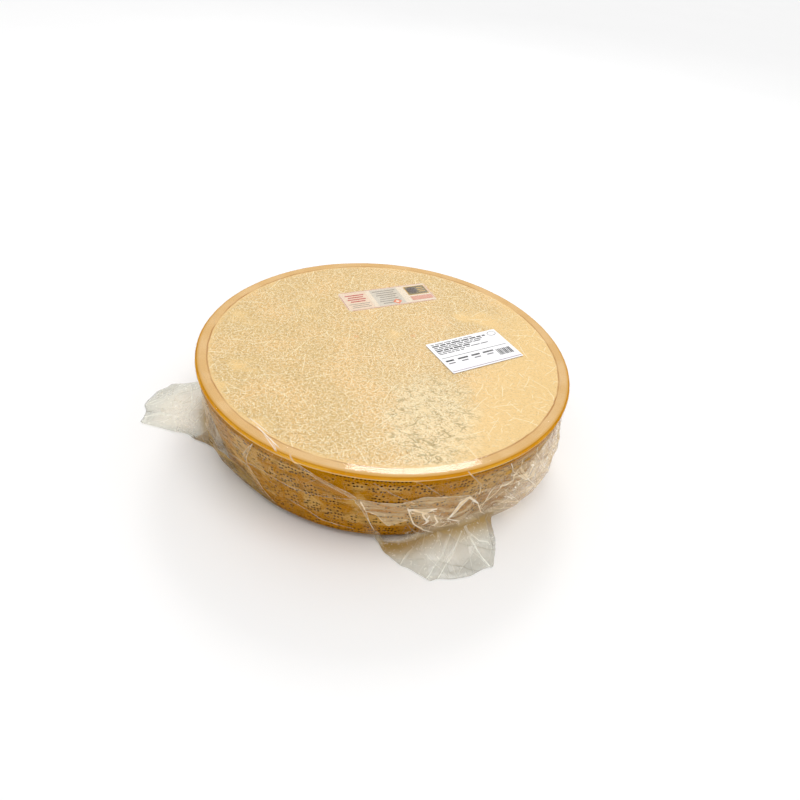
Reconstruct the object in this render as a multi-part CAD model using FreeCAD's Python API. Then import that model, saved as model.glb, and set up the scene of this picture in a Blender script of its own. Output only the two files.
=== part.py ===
"""Half wheel of hard grating cheese, cut level, sealed in a clear film bag with two labels.

Millimetres, +Z up. The wheel's axis is Z, the cut face is up, and the origin is the middle
of the underside of the bag. The bag's two loose ends lie on the ground, one in front (-Y)
and one to the left (-X).
"""
import FreeCAD, Part
import math
import os

# ---- cheese -------------------------------------------------------------------------
CUT_DIAMETER = 432.0      # across the cut face
FOOT_DIAMETER = 378.0     # across the underside, before its edge is rounded
HALF_HEIGHT = 114.0       # cut face to underside
HEEL_SWELL = 1.5          # how far the heel stands proud of a straight cone
RIM_ROUND = 4.0           # rounded edge of the cut face
FOOT_ROUND = 16.0         # rounded edge of the underside
RIND_WIDTH = 14.0         # the darker ring of rind in the cut face
RIND_GROOVE = 0.5         # depth and half width of the line where paste and rind part

# ---- labels -------------------------------------------------------------------------
LABEL_THICKNESS = 0.2
PRODUCT_LABEL = {"length": 123.0, "width": 45.0, "corner": 4.0, "turn": 28.5, "centre": (-9.0, 121.0)}
WEIGHT_LABEL = {"length": 100.0, "width": 62.0, "corner": 1.5, "turn": 34.0, "centre": (104.0, 19.0)}

# ---- film bag -----------------------------------------------------------------------
LABEL_CLEARANCE = 0.1     # between the film and the product label, which lies on the cheese
FILM_GAP = LABEL_THICKNESS + LABEL_CLEARANCE
FILM_WALL = 0.5           # wall of the bag
STEP_ANGLE = 2.5          # the bag is faceted: one column of facets for each step
RIM_STEPS = 4
HEEL_STEPS = 5
FOOT_STEPS = 5
HANG_TOP = 0.72           # where slack film leaves the heel, as a share of its height
HANG_KNEE = 0.24          # where slack film turns in under the heel
KNEE_SLACK = 18.0         # how far it stands off there
FOOT_SLACK = 8.0          # and on the ground
RUCK_COUNT = 23           # small upright rucks round the slack film
RUCK_DEPTH = 0.14         # their depth, as a share of the slack

# Stretches of slack film round the heel: middle and half width in degrees, and how slack.
SLACK_RIGHT = {"heading": -20.0, "half_width": 36.0, "share": 1.0}
SLACK_LEFT = {"heading": 206.0, "half_width": 17.0, "share": 0.6}
SLACK_BACK = {"heading": 90.0, "half_width": 44.0, "share": 0.35}

# The loose ends: heading and half widths in degrees, and how far they reach past the foot.
FRONT_END = {"heading": -66.5, "left": 14.5, "right": 17.0, "reach": 64.0, "height": 34.0, "pleats": 5}
LEFT_END = {"heading": 183.0, "left": 13.0, "right": 14.0, "reach": 102.0, "height": 30.0, "pleats": 4}
PLEAT_DEPTH = 0.22        # of a loose end's height
END_LIP = 1.5             # thickness of a loose end at its edge

BASE_OF_CHEESE = FILM_WALL + FILM_GAP
CUT_FACE = BASE_OF_CHEESE + HALF_HEIGHT
TOP_OF_FILM = CUT_FACE + FILM_GAP + FILM_WALL


def half_wheel(grow=0.0):
    """The wheel's half as a turned solid, grown evenly by a distance on every side."""
    low = BASE_OF_CHEESE - grow
    high = CUT_FACE + grow
    rim = CUT_DIAMETER / 2 + grow
    foot = FOOT_DIAMETER / 2 + grow
    middle = FreeCAD.Vector((rim + foot) / 2 + HEEL_SWELL, 0, (low + high) / 2)
    corners = [FreeCAD.Vector(0, 0, high), FreeCAD.Vector(rim, 0, high)]
    corners += [FreeCAD.Vector(foot, 0, low), FreeCAD.Vector(0, 0, low)]
    edges = [
        Part.makeLine(corners[0], corners[1]),
        Part.Arc(corners[1], middle, corners[2]).toShape(),
        Part.makeLine(corners[2], corners[3]),
        Part.makeLine(corners[3], corners[0]),
    ]
    turned = Part.Face(Part.Wire(edges)).revolve(FreeCAD.Vector(), FreeCAD.Vector(0, 0, 1), 360)
    for height, radius in ((high, RIM_ROUND + grow), (low, FOOT_ROUND + grow)):
        turned = turned.makeFillet(radius, [ring_edge(turned, height)])
    return turned


def ring_edge(solid, height):
    """The widest round edge of a turned solid at a height."""
    level = [e for e in solid.Edges if abs(e.BoundBox.ZMin - height) < 1e-4 and e.BoundBox.ZLength < 1e-4]
    return max(level, key=lambda edge: edge.Length)


def make_cheese():
    """The half wheel with the fine groove that parts paste from rind in its cut face."""
    middle = CUT_DIAMETER / 2 - RIND_WIDTH
    points = [(middle - RIND_GROOVE, CUT_FACE), (middle, CUT_FACE - RIND_GROOVE), (middle + RIND_GROOVE, CUT_FACE)]
    outline = [FreeCAD.Vector(radius, 0, height) for radius, height in points]
    section = Part.Face(Part.makePolygon(outline + outline[:1]))
    groove = section.revolve(FreeCAD.Vector(), FreeCAD.Vector(0, 0, 1), 360)
    return half_wheel().cut(groove)


def clinging_profile():
    """Film drawn tight over the wheel, from the cut face down to the ground: (radius, height)."""
    wheel = half_wheel(FILM_GAP + FILM_WALL)
    seams = [edge for edge in wheel.Edges if edge.BoundBox.YLength < 0.01 and edge.BoundBox.ZLength > 0.01]
    rim, heel, foot = sorted(seams, key=lambda edge: -edge.CenterOfMass.z)
    points = []
    for edge, steps in ((rim, RIM_STEPS), (heel, HEEL_STEPS), (foot, FOOT_STEPS)):
        down = sorted(edge.discretize(Number=steps + 1), key=lambda point: -point.z)
        points += [(point.x, point.z) for point in down[1 if points else 0:]]
    return points


def bump(angle, heading, left, right):
    """A smooth hump round a heading: 1 at its middle, falling away past its half widths."""
    off = (angle - heading + 180) % 360 - 180
    half_width = right if off > 0 else left
    return math.exp(-((abs(off) / half_width) ** 4) * math.log(2))


def slack_at(angle):
    """How slack the film hangs round the heel at an angle, from 0 to about 1, with its rucks."""
    share = 0.0
    for stretch in (SLACK_RIGHT, SLACK_LEFT, SLACK_BACK):
        width = stretch["half_width"]
        share = max(share, stretch["share"] * bump(angle, stretch["heading"], width, width))
    turn = math.radians(angle)
    rucks = 0.6 * math.sin(RUCK_COUNT * turn) + 0.4 * math.sin((RUCK_COUNT * 2 + 7) * turn + 1)
    return share * (1 + RUCK_DEPTH * rucks)


def hang(share_of_height):
    """How far slack film stands off at a share of the heel's height, as a distance."""
    if share_of_height >= HANG_TOP:
        return 0.0
    if share_of_height > HANG_KNEE:
        drop = (HANG_TOP - share_of_height) / (HANG_TOP - HANG_KNEE)
        return KNEE_SLACK * drop * (2 - drop)
    return FOOT_SLACK + (KNEE_SLACK - FOOT_SLACK) * share_of_height / HANG_KNEE


def loose_end_profile(end, count, angle):
    """The last points of the profile where film runs out along the ground to a loose end's edge."""
    foot = FOOT_DIAMETER / 2
    off = (angle - end["heading"] + 180) % 360 - 180
    pleat = 1 + PLEAT_DEPTH * math.cos(math.radians(off) * 180 / (end["left"] + end["right"]) * end["pleats"])
    points = []
    for i in range(count):
        share = i / (count - 2) if i < count - 1 else 1.0
        radius = foot + end["reach"] * share
        fall = (1 - share) ** 1.4
        height = END_LIP + (end["height"] - END_LIP) * fall * (pleat if i else 1.0)
        points.append((radius, height if i < count - 1 else 0.0))
    return points


def tight_radius(height, tight):
    """The radius of the tight film at a height."""
    for (outer, upper), (inner, lower) in zip(tight, tight[1:]):
        if lower <= height <= upper:
            return inner + (outer - inner) * (height - lower) / (upper - lower)
    return 0.0


def film_profile(angle, tight):
    """The bag's outer points at an angle: tight over the wheel, then slack or run out on the ground."""
    slack = slack_at(angle)
    points = []
    for radius, height in tight:
        stand_off = slack * hang(height / TOP_OF_FILM)
        points.append((radius + stand_off, height))
    for end in (FRONT_END, LEFT_END):
        share = bump(angle, end["heading"], end["left"], end["right"])
        count = FOOT_STEPS + 3
        loose = loose_end_profile(end, count, angle)
        for i, (radius, height) in enumerate(loose, start=len(points) - count):
            old = points[i]
            clear = max(radius, old[0], tight_radius(height, tight))
            points[i] = (old[0] + (clear - old[0]) * share, old[1] + (height - old[1]) * share)
    return points


def film_envelope():
    """The bag's closed outer surface, faceted, as a solid."""
    tight = clinging_profile()
    columns = []
    steps = round(360 / STEP_ANGLE)
    outward = 1 / math.cos(math.pi / steps)
    for column in range(steps):
        angle = column * STEP_ANGLE
        turn = math.radians(angle)
        points = film_profile(angle, tight)
        along = (math.cos(turn) * outward, math.sin(turn) * outward)
        columns.append([FreeCAD.Vector(r * along[0], r * along[1], z) for r, z in points])
    faces = [
        Part.Face(Part.makePolygon([c[0] for c in columns] + [columns[0][0]])),
        Part.Face(Part.makePolygon([c[-1] for c in columns] + [columns[0][-1]])),
    ]
    for here, there in zip(columns, columns[1:] + columns[:1]):
        for i in range(len(tight) - 1):
            quad = (here[i], there[i], there[i + 1], here[i + 1])
            for triangle in ((quad[0], quad[1], quad[2]), (quad[0], quad[2], quad[3])):
                faces.append(Part.Face(Part.makePolygon(list(triangle) + [triangle[0]])))
    shell = Part.makeShell(faces)
    shell.sewShape()
    solid = Part.makeSolid(shell)
    if solid.Volume < 0:
        solid.reverse()
    return solid


def make_film_bag():
    """The sealed bag: its envelope, hollowed by the wheel's shape with a little room all round."""
    return film_envelope().cut(half_wheel(FILM_GAP))


def make_label(label, underside):
    """A thin round-cornered label, turned about the wheel's axis direction and laid at a height."""
    length, width = label["length"], label["width"]
    corner = FreeCAD.Vector(-length / 2, -width / 2, 0)
    plate = Part.makeBox(length, width, LABEL_THICKNESS, corner)
    upright = [edge for edge in plate.Edges if edge.BoundBox.ZLength > LABEL_THICKNESS / 2]
    plate = plate.makeFillet(label["corner"], upright)
    plate.rotate(FreeCAD.Vector(), FreeCAD.Vector(0, 0, 1), label["turn"])
    plate.translate(FreeCAD.Vector(label["centre"][0], label["centre"][1], underside))
    return plate


PIECES = {
    "cheese": make_cheese(),
    "film_bag": make_film_bag(),
    "product_label": make_label(PRODUCT_LABEL, CUT_FACE),
    "weight_label": make_label(WEIGHT_LABEL, TOP_OF_FILM),
}

os.makedirs("parts", exist_ok=True)
for name, solid in PIECES.items():
    solid.exportStep("parts/%s.step" % name)
    box = solid.BoundBox
    print("%-14s valid %s solids %d shells %d faces %d volume %.1f cm3 x %.1f..%.1f y %.1f..%.1f z %.1f..%.1f" % (
        name, solid.isValid(), len(solid.Solids), len(solid.Shells), len(solid.Faces), solid.Volume / 1000,
        box.XMin, box.XMax, box.YMin, box.YMax, box.ZMin, box.ZMax))
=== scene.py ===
"""A half wheel of hard grating cheese in its film bag, with a printed label and a weight label.

Metres, +Z up, cut face up. Headings are in degrees from +X, counter-clockwise seen from above:
-90 is the front, where the bag's larger loose end lies, and 180 the left, where the other lies.
"""
import math

import bmesh
import bpy
from mathutils import Matrix, Vector, noise


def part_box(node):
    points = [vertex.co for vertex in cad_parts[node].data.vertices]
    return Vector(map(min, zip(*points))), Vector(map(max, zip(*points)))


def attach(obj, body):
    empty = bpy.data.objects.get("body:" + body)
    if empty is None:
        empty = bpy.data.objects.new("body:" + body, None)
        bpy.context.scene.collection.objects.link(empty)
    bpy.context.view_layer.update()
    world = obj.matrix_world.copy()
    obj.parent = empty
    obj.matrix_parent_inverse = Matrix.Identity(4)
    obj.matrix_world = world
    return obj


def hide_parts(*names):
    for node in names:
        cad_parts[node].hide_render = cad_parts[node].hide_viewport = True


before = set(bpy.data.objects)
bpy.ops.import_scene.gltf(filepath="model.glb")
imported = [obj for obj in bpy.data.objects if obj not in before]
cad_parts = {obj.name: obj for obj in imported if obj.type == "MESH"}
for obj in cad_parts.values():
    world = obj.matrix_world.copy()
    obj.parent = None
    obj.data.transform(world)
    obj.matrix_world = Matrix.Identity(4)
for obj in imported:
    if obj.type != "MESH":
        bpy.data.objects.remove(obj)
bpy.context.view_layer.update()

# ---- The half wheel --------------------------------------------------------------------
# A drum of hard cheese sawn level through its middle: pale, grainy paste inside a harder rind.
# The heel is waxy amber from months on the shelf, and carries the pin marks of its mould.

def srgb(red, green, blue):
    """A colour given as it looks on a screen, for a shader."""
    def linear(value):
        value /= 255
        return value / 12.92 if value < 0.04045 else ((value + 0.055) / 1.055) ** 2.4
    return (linear(red), linear(green), linear(blue), 1.0)


cheese_low, cheese_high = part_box("cheese")
UNDERSIDE = cheese_low.z
CUT_FACE = cheese_high.z
CUT_RADIUS = 0.216
FOOT_RADIUS = 0.189
HEEL_MEAN_RADIUS = 0.205           # turns an angle into a distance round the heel
HEEL_SWELL = 0.0015
RIM_ROUND = 0.004
FOOT_ROUND = 0.016
RIND_EDGE = CUT_RADIUS - 0.014     # where paste and rind part
GROOVE_DEPTH = 0.0005
GROOVE_HALF_WIDTH = 0.0022
GRAIN_HEIGHT = 0.00010             # of the cut paste
PILLOW_HEIGHT = 0.00012            # between the cracks of the leathery patch
RING_WAVES = 0.00012               # height of the rind's unevenness in the cut face
HEEL_DENTS = 0.0004
HEEL_PITS = 0.00018
RIM_BAND = 0.0046                  # height of the golden band under the cut face

CHEESE_COLUMNS = 512
FIRST_SLICES = 32                  # the slice that is turned first is one of so many
PASTE_ROWS = 92
RIM_STEPS = 6
HEEL_ROWS = 44
FOOT_STEPS = 8
UNDERSIDE_ROWS = 12

PASTE = srgb(219, 187, 129)
PASTE_PEACH = srgb(232, 194, 134)
# Painted highlight: the film's fine wrinkles catching the light over the paste
PASTE_PAINTED_HIGHLIGHT = srgb(255, 244, 208)
# Painted shade in the gaps between the film's wrinkles on the paste
PASTE_PAINTED_SHADE = srgb(190, 152, 92)
PASTE_SMOOTH = srgb(241, 207, 145)
PASTE_CRACK = srgb(150, 128, 70)
PASTE_BLUSH = srgb(238, 160, 104)
# Painted sheen: the glare mirrored in the film, spread over the leathery patch
PASTE_PAINTED_SHEEN = srgb(248, 234, 194)
RIND_RING = srgb(222, 180, 118)
RIND_PALE = srgb(228, 190, 134)
RIND_EDGE_TONE = srgb(214, 166, 92)
RIND_LINE = srgb(176, 120, 62)
RIM_GOLD = srgb(216, 146, 14)
RIM_PALE = srgb(232, 172, 48)
RIM_DARK = srgb(192, 130, 26)
HEEL_AMBER = srgb(176, 116, 4)
HEEL_TAN = srgb(196, 152, 78)
HEEL_BROWN = srgb(124, 84, 6)
PIN_MARK = srgb(28, 8, 0)

# Middle and half sizes of the leathery patch in the cut face
LEATHERY = {"x": 0.058, "y": -0.116, "half_x": 0.052, "half_y": 0.086}
SMOOTH_HEADING = -12               # the paste is smooth and golden on this side
SMOOTH_FROM = 0.080
SMOOTH_TO = 0.150
# Faint orange spots: x, y and radius
PASTE_BLUSHES = ((-0.037, 0.018, 0.003), (0.030, 0.035, 0.0025))

# The heel is amber near its foot and its rim, measured from each: fully to the first distance,
# not at all past the second
AMBER_AT_FOOT = (0.020, 0.034)
AMBER_AT_RIM = (0.008, 0.016)
PIN_PITCH = 0.0037
PIN_RADIUS = 0.00145               # to the pale edge of a mark
PIN_CORE = 0.00105                 # it is fully dark inside this
BEAD_RADIUS = 0.0014               # the same for the single row of marks
BEAD_CORE = 0.0009
PIN_RISE = 0.66                    # spacing of the marks across, as a share of their spacing up
PIN_BLOCK_WIDTH = 0.0220
PIN_BLOCK_HEIGHT = 0.0290
PIN_ROW = CUT_FACE - 0.0056        # a single row of marks right under the golden band
# Headings between which that row shows
PIN_ROW_STRETCHES = ((-98, -78), (-60, -48), (-31, -24), (60, 84), (130, 150))


def heel_radius(height):
    """The heel's radius at a height: a cone with a slight swell."""
    share = (height - UNDERSIDE) / (CUT_FACE - UNDERSIDE)
    return FOOT_RADIUS + (CUT_RADIUS - FOOT_RADIUS) * share + HEEL_SWELL * 4 * share * (1 - share)


def rounded(before, corner, after, radius, steps):
    """The points of the arc that rounds a corner."""
    inward = (before - corner).normalized()
    onward = (after - corner).normalized()
    half = inward.angle(onward) / 2
    middle = corner + (inward + onward).normalized() * (radius / math.sin(half))
    reach = radius / math.tan(half)
    first = corner + inward * reach - middle
    last = corner + onward * reach - middle
    return [middle + first.slerp(last, i / steps).normalized() * radius for i in range(steps + 1)]


def side_outline(grow, rim_steps, heel_rows, foot_steps):
    """Rim, heel and foot of the wheel from the top down, grown by a distance."""
    high, low = CUT_FACE + grow, UNDERSIDE - grow
    rim = Vector((CUT_RADIUS + grow, 0, high))
    foot = Vector((FOOT_RADIUS + grow, 0, low))
    near = 0.01
    under_rim = Vector((heel_radius(CUT_FACE - near) + grow, 0, high - near))
    over_foot = Vector((heel_radius(UNDERSIDE + near) + grow, 0, low + near))
    top_arc = rounded(Vector((0, 0, high)), rim, under_rim, RIM_ROUND + grow, rim_steps)
    low_arc = rounded(over_foot, foot, Vector((0, 0, low)), FOOT_ROUND + grow, foot_steps)
    heel = []
    for row in range(1, heel_rows):
        height = top_arc[-1].z + (low_arc[0].z - top_arc[-1].z) * row / heel_rows
        heel.append(Vector((heel_radius(height) + grow, 0, height)))
    return top_arc, heel, low_arc


def turned(outline, columns, marks=None):
    """Turns an outline about the wheel's axis into a closed skin, a slice at first, then doubled
    until it is whole. Marks, one for each point, are kept in a layer named run."""
    shape = bmesh.new()
    run = shape.verts.layers.float.new("run")
    line = []
    for i, point in enumerate(outline):
        vert = shape.verts.new(point)
        vert[run] = marks[i] if marks else 0.0
        line.append(vert)
    for upper, lower in zip(line, line[1:]):
        shape.edges.new((upper, lower))
    turn = math.tau / FIRST_SLICES
    bmesh.ops.spin(
        shape, geom=shape.verts[:] + shape.edges[:], cent=(0, 0, 0), axis=(0, 0, 1),
        angle=turn, steps=columns // FIRST_SLICES)
    while turn < math.tau * 0.51:
        copy = bmesh.ops.duplicate(shape, geom=shape.verts[:] + shape.edges[:] + shape.faces[:])
        fresh = [part for part in copy["geom"] if isinstance(part, bmesh.types.BMVert)]
        bmesh.ops.rotate(shape, cent=(0, 0, 0), matrix=Matrix.Rotation(turn, 3, "Z"), verts=fresh)
        turn *= 2
    bmesh.ops.remove_doubles(shape, verts=shape.verts, dist=1e-6)
    bmesh.ops.recalc_face_normals(shape, faces=shape.faces)
    return shape


def linked(name, data):
    """An object of the scene that holds the data."""
    made = bpy.data.objects.new(name, data)
    bpy.context.scene.collection.objects.link(made)
    return made


def finished(shape, name, material, smooth=True):
    """Makes the shape an object of the part, with its material, riding on the one body."""
    mesh = bpy.data.meshes.new(name)
    shape.to_mesh(mesh)
    shape.free()
    if smooth:
        mesh.shade_smooth()
    mesh.materials.append(material)
    piece = linked(name, mesh)
    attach(piece, "root")
    return piece


def smoothed(value, low, high):
    """0 below low and 1 above high, with a soft step between; the other way round if low > high."""
    share = min(1.0, max(0.0, (value - low) / (high - low)))
    return share * share * (3 - 2 * share)


def leathery(x, y):
    """How leathery the paste is at a place, from 0 to 1."""
    away_x = (x - LEATHERY["x"]) / LEATHERY["half_x"]
    away_y = (y - LEATHERY["y"]) / LEATHERY["half_y"]
    return smoothed(math.hypot(away_x, away_y), 1.15, 0.75)


def paste_relief(place):
    """Height of the paste over the level cut: a fine grain, and pillows between cracks."""
    flat = Vector((place.x, place.y, 0))
    grain = (noise.noise(flat * 190) + noise.noise(flat * 60)) * GRAIN_HEIGHT
    drift = Vector([noise.noise(flat * 70 + Vector((0, 0, layer))) for layer in (0.0, 9.3, 18.6)])
    near, far = noise.voronoi(flat * 105 + drift * 0.6)[0][:2]
    pillow = smoothed(far - near, 0.0, 0.35) - 1
    return grain - PILLOW_HEIGHT + pillow * PILLOW_HEIGHT * leathery(place.x, place.y)


rim_arc, heel_line, foot_arc = side_outline(0.0, RIM_STEPS, HEEL_ROWS, FOOT_STEPS)
face_line = [Vector((rim_arc[0].x * row / PASTE_ROWS, 0, CUT_FACE)) for row in range(PASTE_ROWS)]
under_shares = [1 - row / UNDERSIDE_ROWS for row in range(1, UNDERSIDE_ROWS + 1)]
under_line = [Vector((foot_arc[-1].x * share, 0, UNDERSIDE)) for share in under_shares]
wheel = turned(face_line + rim_arc + heel_line + foot_arc + under_line, CHEESE_COLUMNS)
for vert in wheel.verts:
    radius = math.hypot(vert.co.x, vert.co.y)
    if vert.co.z > CUT_FACE - 1e-6 and radius < RIND_EDGE - 0.001:
        vert.co.z += paste_relief(vert.co) * smoothed(radius, RIND_EDGE, RIND_EDGE - 0.006)
    elif vert.co.z > CUT_FACE - 1e-6:
        vert.co.z -= GROOVE_DEPTH * smoothed(abs(radius - RIND_EDGE), GROOVE_HALF_WIDTH, 0.0)
        vert.co.z += noise.noise(vert.co * 45) * RING_WAVES
    elif vert.co.z > UNDERSIDE + 1e-4:
        outward = Vector((vert.co.x, vert.co.y, 0)).normalized()
        dents = noise.noise(vert.co * 22) * HEEL_DENTS + noise.noise(vert.co * 90) * HEEL_PITS
        vert.co += outward * (dents - HEEL_DENTS / 2)


# Small helpers that wire shader nodes
def fill(made, sockets):
    """Links or sets a node's sockets, given by name or number. None leaves one alone."""
    for name, value in sockets.items():
        if isinstance(value, bpy.types.NodeSocket):
            made.id_data.links.new(value, made.inputs[name])
        elif value is not None:
            made.inputs[name].default_value = value
    return made


def node(tree, kind, *values, **settings):
    """Adds a node, with values for its sockets in their order."""
    made = tree.nodes.new(kind)
    for name, setting in settings.items():
        setattr(made, name, setting)
    return fill(made, dict(enumerate(values)))


def after(kind, *values, **settings):
    """Adds a node to the tree that its first linked value comes from."""
    tree = next(value.id_data for value in values if isinstance(value, bpy.types.NodeSocket))
    return node(tree, kind, *values, **settings)


def maths(operation, *values):
    return after("ShaderNodeMath", *values, operation=operation).outputs[0]


def both(first, second):
    return maths("MULTIPLY", first, second)


def either(first, second):
    return maths("MAXIMUM", first, second)


def plus(first, second):
    return maths("ADD", first, second)


def minus(first, second):
    return maths("SUBTRACT", first, second)


def rest(share):
    """What a share leaves of 1."""
    return minus(1.0, share)


def apart(first, second):
    """How far two values are apart."""
    return maths("ABSOLUTE", minus(first, second))


def total(first, *others):
    """The sum of several values."""
    for other in others:
        first = plus(first, other)
    return first


def ramp(value, slope, start):
    """A straight line: start, plus slope times the value."""
    return maths("MULTIPLY_ADD", value, slope, start)


def vectors(operation, *values):
    made = after("ShaderNodeVectorMath", *values, operation=operation)
    return made.outputs["Value" if operation in ("LENGTH", "DOT_PRODUCT") else "Vector"]


def shifted(place, off):
    return vectors("ADD", place, off)


def scaled(place, x, y, z):
    """A place stretched along each axis."""
    return vectors("MULTIPLY", place, (x, y, z))


def parts_of(place):
    """The x, y and z of a place."""
    return after("ShaderNodeSeparateXYZ", place).outputs[:3]


def chances(cells):
    """Two values from 0 to 1 that each cell of a scatter has of its own."""
    return after("ShaderNodeSeparateColor", cells.outputs["Color"]).outputs[:2]


def round_heel(x, y):
    """Distance round the heel from its front, on the heel's mean radius."""
    return both(maths("ARCTAN2", x, both(y, -1.0)), HEEL_MEAN_RADIUS)


def step(value, low, high):
    """A soft step from 0 at low to 1 at high."""
    made = after("ShaderNodeMapRange", value, low, high, 0.0, 1.0, interpolation_type="SMOOTHSTEP")
    return made.outputs[0]


def mixed(share, first, second):
    """Mixes two colours."""
    return after("ShaderNodeMix", share, *[None] * 5, first, second, data_type="RGBA").outputs[2]


def cloudy(place, scale, detail=3.0, rough=0.5, bend=0.0):
    """Noise of a scale, from 0 to 1."""
    made = after("ShaderNodeTexNoise", place)
    return fill(made, {"Scale": scale, "Detail": detail, "Roughness": rough, "Distortion": bend}).outputs[0]


def pushed(place, scale, detail, size):
    """A push of some size whose direction drifts from place to place."""
    drift = fill(after("ShaderNodeTexNoise", place), {"Scale": scale, "Detail": detail})
    return vectors("SCALE", vectors("SUBTRACT", drift.outputs["Color"], (0.5, 0.5, 0.5)), None, None, size)


def scatter(place, density, randomness=1.0):
    """Cells scattered over a plane."""
    made = after("ShaderNodeTexVoronoi", place, voronoi_dimensions="2D")
    return fill(made, {"Scale": density, "Randomness": randomness})


def group(name, inputs, outputs):
    """An empty node group with named sockets: (group, its inputs' node, its outputs' node)."""
    made = bpy.data.node_groups.new(name, "ShaderNodeTree")
    for way, sockets in (("INPUT", inputs), ("OUTPUT", outputs)):
        for label, kind in sockets:
            made.interface.new_socket(label, in_out=way, socket_type="NodeSocket" + kind)
    return made, made.nodes.new("NodeGroupInput"), made.nodes.new("NodeGroupOutput")


def grouped(effect, *values):
    """Places a node group in a material with its own values."""
    return after("ShaderNodeGroup", *values, node_tree=effect).outputs


def make_strokes():
    """Strokes that lie every way: one in each cell of a scatter, bent by some share of a cell."""
    effect, given, result = group(
        "strokes",
        [("Place", "Vector"), ("Scale", "Float"), ("Length", "Float"), ("Width", "Float"), ("Bend", "Float")],
        [("Mask", "Float")])
    place, scale, length, width, bend = given.outputs[:5]
    spread = vectors("SCALE", place, None, None, scale)
    bent = shifted(spread, pushed(spread, 0.9, 1.0, bend))
    cells = scatter(bent, 1.0)
    turn_chance, strength_chance = chances(cells)
    from_middle = vectors("SUBTRACT", bent, cells.outputs["Position"])
    turn = node(effect, "ShaderNodeVectorRotate", rotation_type="Z_AXIS")
    fill(turn, {"Vector": from_middle, "Angle": both(turn_chance, math.tau)})
    part = parts_of(turn.outputs[0])
    along = maths("DIVIDE", maths("ABSOLUTE", part[0]), length)
    across = maths("DIVIDE", maths("ABSOLUTE", part[1]), width)
    body = both(step(along, 1.0, 0.6), step(across, 1.0, 0.35))
    fill(result, {0: both(body, ramp(strength_chance, 0.7, 0.3))})
    return effect


strokes = make_strokes()


def new_material(name):
    """A material with an empty tree: (material, tree, its output node, a place on the object)."""
    made = bpy.data.materials.new(name)
    made.use_nodes = True
    tree = made.node_tree
    tree.nodes.clear()
    output = tree.nodes.new("ShaderNodeOutputMaterial")
    return made, tree, output, node(tree, "ShaderNodeTexCoord").outputs["Object"]


def principled(tree, output, **sockets):
    """The material's shader, with sockets given by name (an underscore stands for a space)."""
    shader = tree.nodes.new("ShaderNodeBsdfPrincipled")
    fill(shader, {name.replace("_", " "): value for name, value in sockets.items()})
    if output:
        fill(output, {"Surface": shader.outputs[0]})
    return shader


def bumped(height, distance):
    """The surface's normal over a relief, whose height of 1 is a distance."""
    bump = node(height.id_data, "ShaderNodeBump")
    return fill(bump, {"Strength": 1.0, "Distance": distance, "Height": height}).outputs[0]


def stroked(place, shift, density, length, width, bend):
    """One set of strokes, moved aside so that no two sets fall together."""
    return grouped(strokes, shifted(place, (*shift, 0)), density, length, width, bend)[0]


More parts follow.
